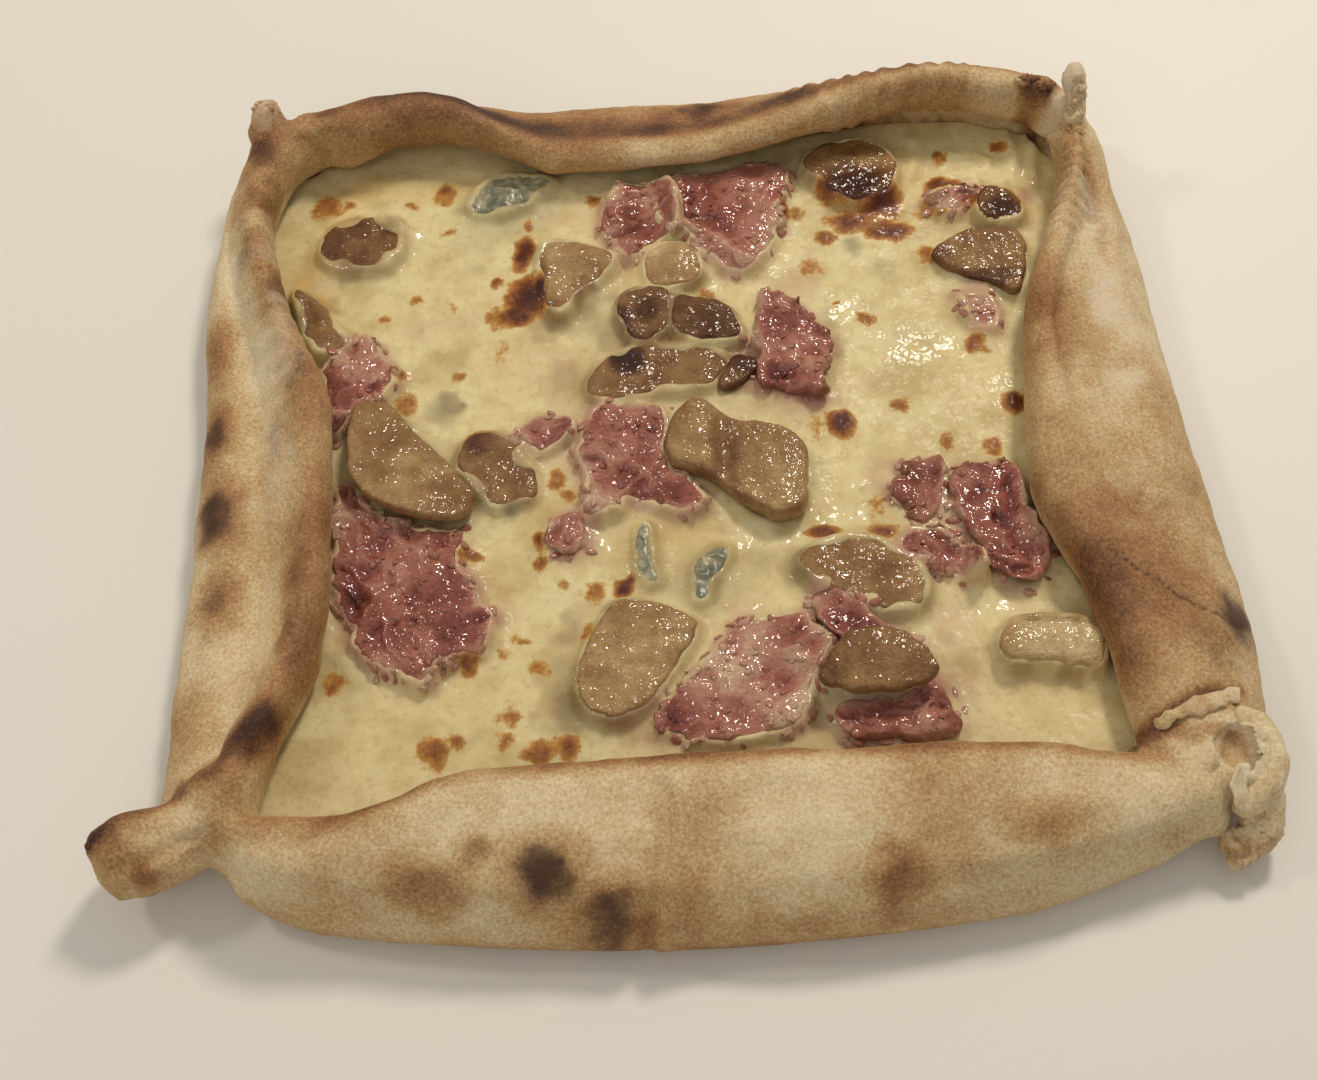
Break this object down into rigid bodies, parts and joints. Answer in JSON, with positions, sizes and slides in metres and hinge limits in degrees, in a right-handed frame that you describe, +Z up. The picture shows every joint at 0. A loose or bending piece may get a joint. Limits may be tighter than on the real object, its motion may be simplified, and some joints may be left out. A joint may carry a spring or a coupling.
{
  "type": "square folded-rim pizza",
  "caption": "Square pizza with its four edges folded in and pinched at the corners, filled with melted cheese, ham, mushroom slices and blue cheese.",
  "frame": {"origin": "middle of the dough's flat underside, on the surface it rests on", "axes": "+Z up out of the filling, -Y towards the viewer's side of the picture, +X to its right"},
  "size_m": [0.2731, 0.2558, 0.0384],
  "materials": {
    "dough": "baked, matte",
    "cheese": "melted, glossy",
    "mushroom": "cooked, wet",
    "ham": "cooked, moist",
    "blue_cheese": "melted, glossy"
  },
  "bodies": {
    "root": {"blue_cheese_back": "blue_cheese", "blue_cheese_long": "blue_cheese", "blue_cheese_short": "blue_cheese", "dough": "dough", "ham_back_fold": "ham", "ham_back_strip": "ham", "ham_by_right_lip": "ham", "ham_centre": "ham", "ham_chunk": "ham", "ham_crumb": "ham", "ham_front": "ham", "ham_front_ridge": "ham", "ham_front_tail": "ham", "ham_left": "ham", "ham_right": "ham", "ham_right_curl": "ham", "ham_right_tail": "ham", "ham_shred": "ham", "ham_tuft": "ham", "ham_upper_left": "ham", "melted_cheese": "cheese", "mushroom_browned_cap": "mushroom", "mushroom_button": "mushroom", "mushroom_by_left_lip": "mushroom", "mushroom_by_right_lip": "mushroom", "mushroom_crisp_bit": "mushroom", "mushroom_curled_stem": "mushroom", "mushroom_dark_half": "mushroom", "mushroom_fin": "mushroom", "mushroom_gills": "mushroom", "mushroom_half_sunk": "mushroom", "mushroom_large_front": "mushroom", "mushroom_on_ham": "mushroom", "mushroom_thin_wide": "mushroom", "mushroom_two_lobed": "mushroom", "mushroom_under_back_lip": "mushroom", "mushroom_upper_slice": "mushroom", "mushroom_wedge": "mushroom", "mushroom_wide_oval": "mushroom"}
  },
  "joints": []
}
